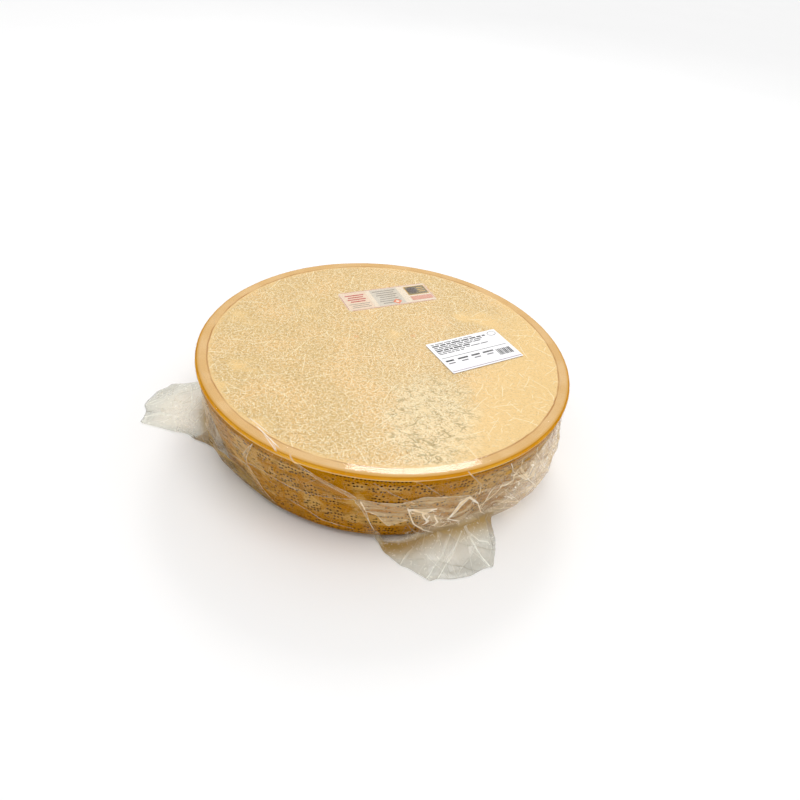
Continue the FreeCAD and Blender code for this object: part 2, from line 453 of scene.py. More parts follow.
def paste_colour(place, radius):
    """Colour and relief of the paste: pale curved strokes, which are painted highlights of the film's
    wrinkles, with painted shade in the gaps between them, a leathery patch under a painted sheen, and a
    smooth side.
    """
    clouds = cloudy(place, 16.0, 3.0)
    drift = cloudy(scaled(place, 1, 1, 0), 42.0, 2.0)
    x, y, _ = parts_of(place)
    heading = math.radians(SMOOTH_HEADING)
    toward = vectors("DOT_PRODUCT", place, (math.cos(heading), math.sin(heading), 0))
    toward = ramp(clouds, 0.07, minus(toward, 0.035))
    smooth_side = step(toward, SMOOTH_FROM, SMOOTH_TO)
    aside_x = maths("DIVIDE", minus(x, LEATHERY["x"]), LEATHERY["half_x"])
    aside_y = maths("DIVIDE", minus(y, LEATHERY["y"]), LEATHERY["half_y"])
    away = maths("SQRT", plus(both(aside_x, aside_x), both(aside_y, aside_y)))
    away = ramp(drift, 0.9, minus(away, 0.45))
    patch = step(away, 1.1, 0.6)

    near_edge = step(radius, RIND_EDGE, RIND_EDGE - 0.007)
    bald = step(clouds, 0.28, 0.42)
    dense = ramp(both(both(rest(smooth_side), near_edge), bald), 0.84, 0.16)

    fine = grouped(strokes, place, 330.0, 0.70, 0.15, 0.9)[0]
    coarse = stroked(place, (0.31, 0.17), 205.0, 0.74, 0.10, 0.7)
    dashes = stroked(place, (0.13, 0.91), 110.0, 0.62, 0.07, 0.4)
    # gaps: painted shade between the wrinkles' highlights
    gaps = stroked(place, (0.57, 0.43), 240.0, 0.60, 0.26, 1.0)
    hairs = stroked(place, (0.83, 0.71), 36.0, 0.75, 0.020, 0.25)
    # pale: painted highlights of the film's fine wrinkles over the paste
    pale = both(either(fine, coarse), dense)
    dark = both(gaps, dense)
    sparse = both(both(both(dashes, rest(dense)), near_edge), step(drift, 0.40, 0.55))

    tone = mixed(step(clouds, 0.35, 0.7), PASTE, PASTE_PEACH)
    tone = mixed(rest(dense), tone, PASTE_SMOOTH)
    # painted sheen over the leathery patch
    tone = mixed(both(patch, 0.45), tone, PASTE_PAINTED_SHEEN)
    # painted shade in the gaps
    tone = mixed(both(dark, 0.75), tone, PASTE_PAINTED_SHADE)
    tone = mixed(pale, tone, PASTE_PAINTED_HIGHLIGHT)
    # sparse dashes and long hairs: painted highlights of the film's wrinkles too
    tone = mixed(both(either(hairs, sparse), 0.85), tone, PASTE_PAINTED_HIGHLIGHT)

    cracks = None
    for offset, scale in ((0.0, 40.0), (0.7, 56.0), (1.3, 75.0)):
        drawn = shifted(scaled(place, 0.8, 1.5, 1), (offset, offset, 0))
        line = step(apart(cloudy(drawn, scale, 1.0, 0.5, 0.5), 0.5), 0.024, 0.006)
        cracks = line if cracks is None else either(cracks, line)
    cracks = both(both(cracks, patch), step(cloudy(place, 80.0, 2.0), 0.34, 0.60))
    tone = mixed(both(cracks, 0.60), tone, PASTE_CRACK)
    for spot_x, spot_y, wide in PASTE_BLUSHES:
        aside = vectors("LENGTH", vectors("SUBTRACT", place, (spot_x, spot_y, CUT_FACE)))
        blush = step(ramp(drift, 0.004, aside), wide + 0.004, wide)
        tone = mixed(both(blush, 0.32), tone, PASTE_BLUSH)

    relief = minus(minus(both(pale, 0.6), both(dark, 0.5)), both(cracks, 0.9))
    return tone, relief


def pin_blocks(place, height, arc):
    """Where the mould's pin marks stand: warped blocks with bare lanes between them, worn in part."""
    push = parts_of(pushed(place, 30.0, 2.0, 0.022))
    across = maths("FRACT", maths("DIVIDE", plus(plus(arc, push[0]), 2.0), PIN_BLOCK_WIDTH))
    up = maths("FRACT", maths("DIVIDE", plus(height, push[1]), PIN_BLOCK_HEIGHT))
    in_block = both(step(apart(across, 0.5), 0.46, 0.38), step(apart(up, 0.5), 0.46, 0.38))
    worn = step(cloudy(place, 26.0, 2.0), 0.34, 0.42)
    under_rim = step(height, CUT_FACE - 0.009, CUT_FACE - 0.012)
    return both(both(in_block, worn), under_rim)


def pin_row(height, arc):
    """The single row of marks under the golden band, where it shows."""
    flat = after("ShaderNodeCombineXYZ", arc, minus(height, PIN_ROW)).outputs[0]
    repeat = vectors("MODULO", shifted(flat, (1.0, 0, 0)), (PIN_PITCH, 1, 1))
    bead = vectors("LENGTH", vectors("SUBTRACT", repeat, (PIN_PITCH / 2, 0, 0)))
    shown = None
    for start, stop in PIN_ROW_STRETCHES:
        middle = math.radians((start + stop) / 2 + 90) * HEEL_MEAN_RADIUS
        half = math.radians(stop - start) / 2 * HEEL_MEAN_RADIUS
        near = step(apart(arc, middle), half + 0.001, half)
        shown = near if shown is None else either(shown, near)
    return both(step(bead, BEAD_RADIUS, BEAD_CORE), shown)


def heel_colour(place, height, arc):
    """Colour and relief of the heel: waxy amber, tan and brown, with the mould's pin marks."""
    clouds = cloudy(scaled(place, 1, 1, 1.5), 19.0, 4.0, 0.6, 0.5)
    streaks = cloudy(scaled(place, 1, 1, 2.2), 62.0, 3.0, 0.62)
    amber = either(step(height, UNDERSIDE + AMBER_AT_FOOT[1], UNDERSIDE + AMBER_AT_FOOT[0]),
                   step(height, CUT_FACE - AMBER_AT_RIM[1], CUT_FACE - AMBER_AT_RIM[0]))
    dry = ramp(amber, -0.45, clouds)
    tone = mixed(step(dry, 0.46, 0.56), HEEL_AMBER, HEEL_TAN)
    tone = mixed(both(step(streaks, 0.48, 0.66), 0.55), tone, HEEL_BROWN)

    flat = after("ShaderNodeCombineXYZ", arc, both(height, PIN_RISE)).outputs[0]
    pins = scatter(flat, 1 / PIN_PITCH, 0.62)
    off_pin = scaled(vectors("SUBTRACT", flat, pins.outputs["Position"]), 1, 1 / PIN_RISE, 0)
    dot = step(vectors("LENGTH", off_pin), PIN_RADIUS, PIN_CORE)
    present = step(chances(pins)[0], 0.18, 0.22)
    blocks = pin_blocks(place, height, arc)
    marked = either(both(both(dot, present), blocks), pin_row(height, arc))
    dusty = both(blocks, ramp(amber, -0.30, 0.30))
    tone = mixed(dusty, tone, HEEL_TAN)
    tone = mixed(marked, tone, PIN_MARK)

    foot_shade = step(height, UNDERSIDE + 0.016, UNDERSIDE + 0.004)
    tone = mixed(both(foot_shade, 0.5), tone, HEEL_BROWN)
    relief = ramp(marked, -1.0, both(cloudy(place, 420.0, 2.0), 0.35))
    return tone, relief


def make_cheese_material():
    """Paste, the ring of rind round it, the golden rim and the heel, each where it belongs."""
    material, tree, output, place = new_material("cheese")
    x, y, height = parts_of(place)
    radius = vectors("LENGTH", scaled(place, 1, 1, 0))
    paste, paste_height = paste_colour(place, radius)
    heel, heel_height = heel_colour(place, height, round_heel(x, y))

    wander = minus(ramp(cloudy(place, 55.0, 3.0), 0.0022, radius), 0.0011)
    ring = step(wander, RIND_EDGE - 0.0012, RIND_EDGE + 0.0004)
    ring_tone = mixed(step(cloudy(place, 30.0, 3.0), 0.35, 0.65), RIND_RING, RIND_PALE)
    ring_tone = mixed(step(radius, CUT_RADIUS - 0.0065, CUT_RADIUS - 0.0030), ring_tone, RIND_EDGE_TONE)
    tone = mixed(ring, paste, ring_tone)
    line = step(apart(wander, RIND_EDGE), 0.0014, 0.0003)
    line = both(line, step(cloudy(place, 18.0, 2.0), 0.30, 0.62))
    tone = mixed(both(line, 0.8), tone, RIND_LINE)

    rim_tone = mixed(step(cloudy(place, 24.0, 3.0), 0.35, 0.7), RIM_GOLD, RIM_PALE)
    rim_edge = step(radius, CUT_RADIUS - 0.0016, CUT_RADIUS - 0.0024)
    rim_tone = mixed(both(rim_edge, 0.8), rim_tone, RIM_DARK)
    crest = either(step(height, CUT_FACE - 0.0004, CUT_FACE - 0.0011),
                   step(radius, CUT_RADIUS - 0.0034, CUT_RADIUS - 0.0028))
    tone = mixed(crest, tone, rim_tone)
    band = ramp(cloudy(place, 40.0, 2.0), 0.0016, height)
    on_heel = step(band, CUT_FACE - RIM_BAND + 0.0016, CUT_FACE - RIM_BAND + 0.0002)
    tone = mixed(on_heel, tone, heel)

    on_face = step(height, CUT_FACE - 0.0030, CUT_FACE - 0.0012)
    relief = plus(both(both(paste_height, on_face), rest(ring)), both(heel_height, on_heel))
    rough = ramp(on_heel, -0.12, 0.60)
    principled(tree, output, Base_Color=tone, Roughness=rough, Specular_IOR_Level=0.0,
               Normal=bumped(relief, 0.00025))
    return material


half_wheel = finished(wheel, "half_wheel", make_cheese_material())
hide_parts("cheese")


# ---- The product label -----------------------------------------------------------------
# A thin paper label laid on the cut face before the wheel went into its bag. Its print is plain
# fields of ink inside a thin red border: bars on cream and on grey, an olive plate and a rose strip.

PRODUCT_LABEL = {"length": 0.123, "width": 0.045, "turn": 28.5, "x": -0.009, "y": 0.121}
INK_LIFT = 0.00003                 # from the paper to the first field of ink
FIELD_LIFT = 0.000002              # from each field to the next
PAPER_RELIEF = 0.00003
MM = 1000

INK_WHITE = srgb(238, 222, 198)
INK_CREAM = srgb(232, 206, 178)
INK_ROSE = srgb(216, 152, 128)
INK_RED = srgb(190, 62, 44)
INK_ORANGE = srgb(226, 112, 56)
INK_GREY = srgb(140, 128, 112)
INK_PALE_GREY = srgb(206, 196, 178)
INK_BROWN = srgb(58, 34, 20)
INK_OLIVE = srgb(104, 88, 28)
INK_GOLD = srgb(214, 166, 66)


class Print:
    """Fields of ink on a label, placed in millimetres from its middle, each over the one before."""
    def __init__(self):
        self.shape = bmesh.new()
        self.ink = self.shape.loops.layers.float_color.new("ink")
        self.fields = 0

    def add(self, make, colour, x, y, width, height, turn, **shape):
        """Makes one field of one ink, of unit size at first, over the ones before."""
        self.fields += 1
        place = Matrix.Translation((x / MM, y / MM, self.fields * FIELD_LIFT))
        size = Matrix.Diagonal((width / MM, height / MM, 1, 1))
        matrix = place @ Matrix.Rotation(math.radians(turn), 4, "Z") @ size
        fresh = make(self.shape, matrix=matrix, **shape)["verts"]
        for face in {face for vert in fresh for face in vert.link_faces}:
            for loop in face.loops:
                loop[self.ink] = colour

    def field(self, colour, x, y, width, height, turn=0.0):
        """A rectangle."""
        create = bmesh.ops.create_grid
        self.add(create, colour, x, y, width, height, turn, x_segments=1, y_segments=1, size=0.5)

    def disc(self, colour, x, y, width, height):
        """An oval."""
        create = bmesh.ops.create_circle
        self.add(create, colour, x, y, width, height, 0.0, cap_ends=True, segments=36, radius=0.5)

    def lay(self, label, height):
        """Turns the print and lays it on its label."""
        place = Matrix.Translation((label["x"], label["y"], height + INK_LIFT))
        turn = Matrix.Rotation(math.radians(label["turn"]), 4, "Z")
        bmesh.ops.transform(self.shape, matrix=place @ turn, verts=self.shape.verts)


def make_paper_grain():
    """Fine fibres of paper: how much to darken it, and its relief."""
    effect, given, result = group(
        "paper grain", [("Place", "Vector"), ("Scale", "Float")], [("Shade", "Float"), ("Relief", "Float")])
    place, scale = given.outputs[:2]
    spread = vectors("SCALE", place, None, None, scale)
    fibres = cloudy(spread, 1.0, 4.0, 0.6, 0.4)
    clouds = cloudy(spread, 0.04, 2.0)
    fill(result, {0: plus(both(fibres, 0.6), both(clouds, 0.4)), 1: fibres})
    return effect


paper_grain = make_paper_grain()


def make_paper_material(name, colour, rough):
    """Plain paper of one colour."""
    material, tree, output, place = new_material(name)
    shade, relief = grouped(paper_grain, place, 900.0)[:2]
    darker = tuple(part * 0.93 for part in colour[:3]) + (1.0,)
    tone = mixed(step(shade, 0.35, 0.65), darker, colour)
    principled(tree, output, Base_Color=tone, Roughness=rough, Normal=bumped(relief, PAPER_RELIEF))
    return material


def attribute(tree, name, output="Fac"):
    """A value that the piece's points or corners carry."""
    return node(tree, "ShaderNodeAttribute", attribute_name=name).outputs[output]


def make_print_material(name, rough):
    """Ink on paper: each field's own colour, a little uneven."""
    material, tree, output, place = new_material(name)
    ink = attribute(tree, "ink", "Color")
    shade, relief = grouped(paper_grain, place, 700.0)[:2]
    light = mixed(0.14, ink, (1, 1, 1, 1))
    tone = mixed(step(shade, 0.40, 0.66), ink, light)
    principled(tree, output, Base_Color=tone, Roughness=rough, Normal=bumped(relief, PAPER_RELIEF))
    return material


def repaint(name, material):
    """Gives a CAD node that keeps showing its material."""
    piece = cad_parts[name]
    piece.data.materials.clear()
    piece.data.materials.append(material)


repaint("product_label", make_paper_material("label paper", INK_WHITE, 0.5))

design = Print()
long, wide = PRODUCT_LABEL["length"] * MM, PRODUCT_LABEL["width"] * MM
for side in (-1, 1):
    design.field(INK_RED, 0, side * (wide / 2 - 1.0), long - 8, 0.7)
    design.field(INK_RED, side * (long / 2 - 1.0), 0, 0.7, wide - 8)
design.field(INK_CREAM, -42, 0, 34, 40)
design.field(INK_PALE_GREY, 0, 0, 38, 40)
for line in range(7):
    design.field(INK_GREY, 0, 15 - line * 5, 32 - (line * 7) % 11, 2.0)
design.field(INK_OLIVE, 44, 7, 30, 22)
for side in (-1, 1):
    design.field(INK_GOLD, 44, 7 + side * 10.4, 30, 1.1)
    design.field(INK_GOLD, 44 + side * 14.4, 7, 1.1, 22)
design.disc(INK_BROWN, 38, 8, 14, 15)
for line in range(3):
    design.field(INK_GOLD, 51, 12 - line * 4.5, 9, 1.6)
design.field(INK_ROSE, 44, -12, 30, 10)
design.field(INK_ORANGE, 8, -14, 9, 9, turn=45)
design.field(INK_WHITE, 8, -14, 4, 4, turn=45)
for line in range(4):
    design.field(INK_RED, -42, 13 - line * 5, 26 - (line * 5) % 9, 2.4)
for line in range(3):
    design.field(INK_GREY, -42, -8 - line * 4, 28 - (line * 6) % 10, 1.2)
design.lay(PRODUCT_LABEL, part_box("product_label")[1].z)
product_print = finished(design.shape, "product_print", make_print_material("label ink", 0.5), smooth=False)


# ---- The film bag ----------------------------------------------------------------------
# One bag of clear film, about a tenth of a millimetre thick, sealed round the wheel. It is drawn
# tight over the cut face, hangs slack down the right, and its two ends lie crumpled on the ground.

FACE_GAP = 0.00045                 # from the cheese to the film, over the label's paper
FILM_COLUMNS = 704
FACE_ROWS = 26
RING_ROWS = 10
FILM_RIM_STEPS = 5
FILM_HEEL_ROWS = 56
FILM_FOOT_STEPS = 34
FLOOR_ROWS = 6
CROWDING = 0.58                    # how much closer the columns are in front than at the back
CROWD_HEADING = -82

HANG_TOP = 0.083                   # height at which slack film leaves the heel
HANG_KNEE = 0.028                  # and at which it turns in towards the ground
KNEE_SLACK = 0.018
FOOT_SLACK = 0.008
SLACKS = (
    {"heading": -20, "half_width": 36, "share": 1.0},
    {"heading": 206, "half_width": 17, "share": 0.6},
    {"heading": 90, "half_width": 44, "share": 0.35},
)
# The loose ends: the outline of the edge as heading, reach past the foot in mm, and height at
# the heel in mm
LOOSE_ENDS = (
    ((-91, 0, 2), (-86, 6, 4), (-82, 22, 5), (-78, 36, 7), (-75, 46, 15), (-72, 58, 26), (-69, 58, 33),
     (-64, 63, 37), (-59, 60, 38), (-56, 60, 34), (-53, 50, 30), (-50, 34, 26), (-45, 10, 16), (-40, 0, 6)),
    ((164, 0, 8), (169, 14, 22), (172, 48, 28), (174, 82, 30), (177, 90, 30), (182, 101, 28), (188, 96, 26),
     (191, 99, 24), (193, 78, 22), (196, 44, 20), (200, 28, 18), (205, 12, 14), (211, 0, 6)),
)
# A highlight is painted along this height, where the tight film lets go of the rim
RIM_LINE = 0.1113                  # height at which the tight film lets go of the rim
LEAVE_HEIGHT = 0.072               # where the film leaves the heel above a loose end
LEAVE_SHARE = 0.3                  # and how much of the film there still lies on the heel
END_LIP = 0.0015                   # thickness of a loose end at its edge

# Folds of the film round the heel: how white each is, and the way it runs as heading, height and
# half width in mm. A wide one is a pleat with two bright edges, a narrow one a crease; those edges and crease
# lines are painted highlights.
HEEL_FOLDS = (
    (0.40, ((-110, 115, 0.6), (-106.5, 108, 1.2), (-100, 95, 2.2), (-94, 84, 2.4), (-91.5, 75, 2.6))),
    (0.55, ((-91.5, 75, 2.6), (-90, 64, 2.0), (-88, 44, 0.8), (-86, 27, 0.4))),
    (0.35, ((-126, 66, 0.5), (-120, 71, 0.5), (-111, 66, 0.6), (-103, 68, 0.6), (-96, 73, 0.7),
            (-92, 76, 0.7))),
    (0.45, ((-121.5, 108, 0.5), (-124, 93, 1.4), (-127, 74, 2.4), (-127, 62, 1.2))),
    (0.45, ((-137, 53, 0.6), (-130, 60, 0.8), (-126.5, 59, 1.0), (-125, 46, 1.0), (-123, 30, 0.8),
            (-119, 16, 0.6))),
    (0.35, ((-127.5, 58, 0.5), (-126, 42, 0.6), (-123, 18, 0.5))),
    (0.30, ((-91, 77, 0.6), (-84, 74, 0.6), (-79, 75, 0.8), (-74, 84, 0.6), (-68, 80, 0.6), (-60, 75, 0.5))),
    (0.25, ((-89, 58, 0.5), (-82, 52, 0.5), (-77, 57, 0.5))),
    (0.80, ((-77.5, 68, 0.6), (-75, 52, 0.8), (-71, 34, 0.6), (-68, 22, 0.5))),
    (0.85, ((-77.5, 67, 0.5), (-73, 66, 1.3), (-70, 68, 0.6))),
    (0.85, ((-73.5, 63, 0.5), (-72, 57, 1.0), (-73, 51, 0.5))),
    (0.80, ((-70.5, 62, 0.5), (-69.5, 55, 0.8), (-71, 47, 0.5))),
    (0.60, ((-67, 50, 0.5), (-68.5, 42, 0.7), (-66, 34, 0.5))),
    (0.98, ((-67, 58, 0.6), (-63, 68, 1.6), (-60, 71, 1.0), (-56, 56, 0.8), (-51, 28, 0.5))),
    (0.90, ((-67, 58, 0.6), (-64, 49, 0.8), (-61, 40, 0.8), (-58, 32, 0.8))),
    (0.42, ((-58.5, 60, 0.6), (-57, 76, 0.8), (-57, 85, 0.5), (-60, 100, 0.4), (-63, 114, 0.3))),
    (0.70, ((-54, 48, 0.5), (-49, 61, 0.9), (-45, 74, 0.8), (-43, 87, 0.5))),
    (0.60, ((-53, 42, 0.5), (-52, 65, 0.8), (-50, 75, 0.9), (-46, 74, 0.5))),
    (0.22, ((-87.5, 107, 0.3), (-82, 90, 0.4), (-76, 74, 0.3))),
    (0.22, ((-78, 113, 0.3), (-74.5, 105, 0.4), (-67.5, 78, 0.3))),
    (0.45, ((-49, 106, 0.3), (-45, 83, 0.5), (-39, 62, 0.4))),
    (0.40, ((-112, 41, 0.4), (-106, 33, 0.5), (-102, 23, 0.5), (-92, 19, 0.4))),
    (0.55, ((-43.5, 99, 0.4), (-42, 80, 1.2), (-38, 60, 0.6), (-33, 40, 0.5))),
    (0.50, ((-38, 106, 0.4), (-34, 84, 0.6), (-30, 60, 0.5), (-24, 38, 0.4))),
    (0.50, ((-26, 100, 0.4), (-25, 76, 0.8), (-17, 52, 0.5))),
    (0.45, ((-14, 92, 0.4), (-13, 70, 0.7), (-6, 44, 0.5))),
)
# Folds of the loose ends on the ground: as above, with x and y in mm
GROUND_FOLDS = (
    (0.95, ((84, -150, 0.6), (95, -166, 1.2), (108, -182, 1.0), (123, -196, 0.8), (136, -206, 0.5))),
    (0.45, ((112, -184, 0.5), (124, -187, 0.6), (134, -182, 0.5))),
    (0.35, ((104, -186, 0.6), (96, -208, 0.8), (84, -232, 0.6))),
    (0.30, ((94, -188, 0.5), (86, -212, 0.6), (70, -236, 0.5))),
    (0.25, ((72, -188, 0.5), (52, -206, 0.7), (40, -226, 0.5))),
    (0.45, ((-240, 10, 0.5), (-233, -11, 0.7), (-225, -33, 0.6), (-228, -48, 0.5))),
    (0.45, ((-214, -8, 0.5), (-222, -30, 0.6), (-236, -48, 0.5), (-262, -40, 0.6), (-284, -46, 0.5))),
    (0.85, ((-290, -46, 0.6), (-262, -38, 1.6), (-248, -42, 0.5))),
    (0.35, ((-231, -44, 0.5), (-216, -54, 0.6), (-205, -36, 0.5))),
    (0.30, ((-250, 22, 0.5), (-270, 2, 0.6), (-286, -20, 0.5))),
)
# Where the film doesn't cling to the heel it looks milky: how milky, whether it takes a brown tone
# from the heel behind it, and the outline of each such stretch as heading and height in mm
MILKY = (
    (0.06, 0, ((-122, 108), (-109, 114), (-106, 108), (-100, 96), (-92, 84), (-92, 76), (-96, 73),
               (-103, 68), (-111, 66), (-116, 73), (-122, 72), (-126, 69))),
    (0.02, 0, ((-118, 58), (-111, 66), (-103, 68), (-96, 73), (-91, 75), (-89, 53), (-87, 28),
               (-97, 23), (-104, 22), (-110, 31), (-116, 32))),
    (0.16, 0, ((-150, 100), (-133, 102), (-122, 107), (-126, 81), (-130, 78), (-135, 70), (-141, 60),
               (-156, 70))),
    (0.62, 1, ((-162, 56), (-150, 50), (-138, 46), (-130, 40), (-125, 26), (-119, 14), (-116, 0),
               (-162, 0))),
    (0.34, 0, ((-91, 76), (-84, 74), (-79, 75), (-76, 79), (-74, 85), (-68, 81), (-62, 77), (-58, 68),
               (-62, 40), (-68, 22), (-73, 42), (-77, 56), (-82, 52), (-89, 57))),
    (0.05, 0, ((-92, 100), (-80, 104), (-60, 104), (-50, 100), (-56, 74), (-68, 78), (-74, 86), (-84, 78))),
    (0.12, 0, ((-62, 108), (-40, 108), (-20, 106), (0, 102), (0, 80), (-30, 70), (-54, 74))),
)
# Straight creases across the cut face: x and y in mm where each starts, its heading and its
# length, its half width, and how white it is
FACE_CREASES = (
    (-128, -150, -38, 44, 0.9, 0.75),
    (-118, -160, -44, 52, 1.0, 0.85),
    (-106, -172, -52, 44, 0.8, 0.80),
    (-98, -176, -60, 34, 0.6, 0.70),
    (113, 171, -58, 76, 0.8, 0.18),
    (-31, 1, -3, 84, 0.8, 0.16),
    (82, -36, 2, 52, 0.9, 0.16),
    (-160, 60, 66, 60, 0.7, 0.16),
)
# Above the front end the film is crumpled into a knot, and bulges out: middles and half sizes
CRUMPLED = {"heading": -71, "half_width": 8, "height": 46, "half_height": 22}
BULGE = {"heading": -66, "half_width": 15, "height": 50, "half_height": 32}
BULGE_OUT = 0.015

FOLD_REACH = 14                    # a fold changes nothing further away than this, in mm
FOLD_LEAST = 0.7                   # half width of the finest fold, in mm
FOLD_SPREAD = 1.15                 # folds are this much wider than the tables say
HEEL_STRETCH = 3.65                # mm of the heel's round in a degree

# Crumpled film has three sets of straight folds: the way each runs, its spacing and its share
CRUMPLE = ((28, 0.036, 1.0), (97, 0.027, 0.8), (152, 0.019, 0.55))
GROUND_COARSER = 0.55              # on the ground places are drawn together so, and folds apart
SLACK_RUCKS = 0.0026               # height of the folds in slack film
KNOT_RUCKS = 0.0012
GROUND_RUCKS = 0.0030

# How milky film is: drawn tight, slack, in the loose ends, in those beside the heel, on the face
# and under the wheel
MILK_TIGHT, MILK_SLACK, MILK_ENDS = 0.005, 0.42, 0.34
MILK_BESIDE, MILK_FACE, MILK_FLOOR = 0.80, 0.02, 0.1


def hump(heading, middle, half_width):
    """A smooth hump round a heading: 1 at its middle, a half at its half width."""
    off = (heading - middle + 180) % 360 - 180
    return math.exp(-((abs(off) / half_width) ** 4) * math.log(2))


def from_middle(patch, heading, level):
    """How far a point is from the middle of a patch of film, in half sizes."""
    aside = (heading - patch["heading"]) / patch["half_width"]
    return math.hypot(aside, (level - patch["height"]) / patch["half_height"])


def crumple(x, y):
    """Crumpled film at a place: (where it lies among the folds of each set, relief)."""
    waves, relief = [], 0.0
    for turn, spacing, height in CRUMPLE:
        way = math.radians(turn)
        warp = noise.noise(Vector((x * 14, y * 14, turn))) * 0.75
        wave = (x * math.cos(way) + y * math.sin(way)) / spacing + warp
        share = 0.55 + 0.9 * noise.noise(Vector((x * 17, y * 17, turn + 40)))
        relief += (1 - 4 * abs(wave % 1 - 0.5)) * height * max(0.1, share)
        waves.append(wave)
    return waves, relief


def off_path(path, x, y, stretch):
    """How far a point is off a path and on which side, in half widths, and how surely it is beside
    the path and not past its ends."""
    best, found = 1e9, (9.0, 0.0)
    last = len(path) - 2
    for i, ((ax, ay, aw), (bx, by, bw)) in enumerate(zip(path, path[1:])):
        run_x, run_y = (bx - ax) * stretch, by - ay
        off_x, off_y = (x - ax) * stretch, y - ay
        length = math.hypot(run_x, run_y)
        along = (off_x * run_x + off_y * run_y) / length
        held = max(0.0, min(length, along))
        away = math.hypot(off_x - run_x * held / length, off_y - run_y * held / length)
        if away < best:
            side = 1 if run_x * off_y - run_y * off_x > 0 else -1
            past = max(0.0, -along) if i == 0 else 0.0
            past = max(past, along - length) if i == last else past
            width = max(FOLD_LEAST, (aw + (bw - aw) * held / length) * FOLD_SPREAD)
            near = smoothed(past, 1.5, 0.0) * smoothed(away, width + 4.0, width + 2.0)
            best, found = away, (side * away / width, near)
    return best, found


def with_bounds(folds, stretch):
    """Puts before each fold the box it can change anything in: (left, right, low, high)."""
    aside = FOLD_REACH / stretch
    boxed = []
    for white, path in folds:
        across, up = [point[0] for point in path], [point[1] for point in path]
        box = (min(across) - aside, max(across) + aside, min(up) - FOLD_REACH, max(up) + FOLD_REACH)
        boxed.append((box, white, path))
    return boxed


def fold_at(folds, x, y, stretch):
    """The fold nearest to a point: (place across it in half widths, strength, rise and half width
    in mm)."""
    best, found = 1e9, (9.0, 0.0, 0.0, 0.0)
    for (left, right, low, high), white, path in folds:
        if not (left < x < right and low < y < high):
            continue
        away, (across, near) = off_path(path, x, y, stretch)
        if away < best:
            best = away
            width = away / max(1e-6, abs(across))
            rise = near * min(1.6, 0.5 + width * 0.55) * max(0.0, 1 - abs(across) / 2.2)
            found = (max(-9.0, min(9.0, across)), near * white, rise, width)
    return found


def inside(outline, x, y):
    """Whether a point lies in an outline."""
    within = False
    for (ax, ay), (bx, by) in zip(outline, outline[1:] + outline[:1]):
        if (ay > y) != (by > y) and x < ax + (bx - ax) * (y - ay) / (by - ay):
            within = not within
    return within


def slack_off(height):
    """How far slack film stands off the heel at a height."""
    if height >= HANG_TOP:
        return 0.0
    if height > HANG_KNEE:
        drop = (HANG_TOP - height) / (HANG_TOP - HANG_KNEE)
        return KNEE_SLACK * drop * (2 - drop)
    return FOOT_SLACK + (KNEE_SLACK - FOOT_SLACK) * height / HANG_KNEE


def end_at(edge, heading):
    """A loose end's reach past the foot and its height at the heel, at a heading."""
    heading = heading if edge[0][0] <= heading else heading + 360
    for (start, near, low), (stop, far, high) in zip(edge, edge[1:]):
        if start <= heading <= stop:
            share = (heading - start) / (stop - start)
            return (near + (far - near) * share) / MM, (low + (high - low) * share) / MM
    return 0.0, 0.0


def loose_end(reach, top, along):
    """Where the film lies over a loose end, (radius, height), from leaving the heel to its edge."""
    if along < LEAVE_SHARE:
        share = along / LEAVE_SHARE
        height = LEAVE_HEIGHT + (top - LEAVE_HEIGHT) * share
        return heel_radius(height) + 0.001 + 0.004 * share, height
    run = (along - LEAVE_SHARE) / (1 - LEAVE_SHARE)
    first = heel_radius(top) + 0.005
    return first + (FOOT_RADIUS + reach - first) * run, END_LIP + (top - END_LIP) * (1 - run) ** 1.4


def crowded(heading):
    """Moves a column's heading, so that columns are closer together in front."""
    off = (heading - CROWD_HEADING + 180) % 360 - 180
    return CROWD_HEADING + off - math.degrees(CROWDING * math.sin(math.radians(off)))


rim_arc, heel_line, foot_arc = side_outline(FACE_GAP, FILM_RIM_STEPS, FILM_HEEL_ROWS, FILM_FOOT_STEPS)
ring_start = RIND_EDGE - 0.006
ring_width = rim_arc[0].x - ring_start
face_line = [Vector((ring_start * row / FACE_ROWS, 0, CUT_FACE + FACE_GAP)) for row in range(FACE_ROWS)]
face_line += [
    Vector((ring_start + ring_width * row / RING_ROWS, 0, CUT_FACE + FACE_GAP)) for row in range(RING_ROWS)]
side_line = rim_arc + heel_line + foot_arc
floor_line = [Vector((foot_arc[-1].x * (1 - row / FLOOR_ROWS), 0, 0)) for row in range(1, FLOOR_ROWS + 1)]
side_runs = [i / (len(side_line) - 1) for i in range(len(side_line))]
leave_run = min(run for point, run in zip(side_line, side_runs) if point.z < LEAVE_HEIGHT)
runs = [-1.0] * len(face_line) + side_runs + [1 + row / FLOOR_ROWS for row in range(1, FLOOR_ROWS + 1)]

bag = turned(face_line + side_line + floor_line, FILM_COLUMNS, runs)
run_layer = bag.verts.layers.float["run"]
haze_layer = bag.verts.layers.float.new("haze")
loose_layer = bag.verts.layers.float.new("loose")
warm_layer = bag.verts.layers.float.new("warm")
tail_layer = bag.verts.layers.float.new("tail")
fold_layer = bag.verts.layers.float_vector.new("fold")
wave_layer = bag.verts.layers.float_vector.new("waves")


heel_folds = with_bounds(HEEL_FOLDS, HEEL_STRETCH)
ground_folds = with_bounds(GROUND_FOLDS, 1.0)


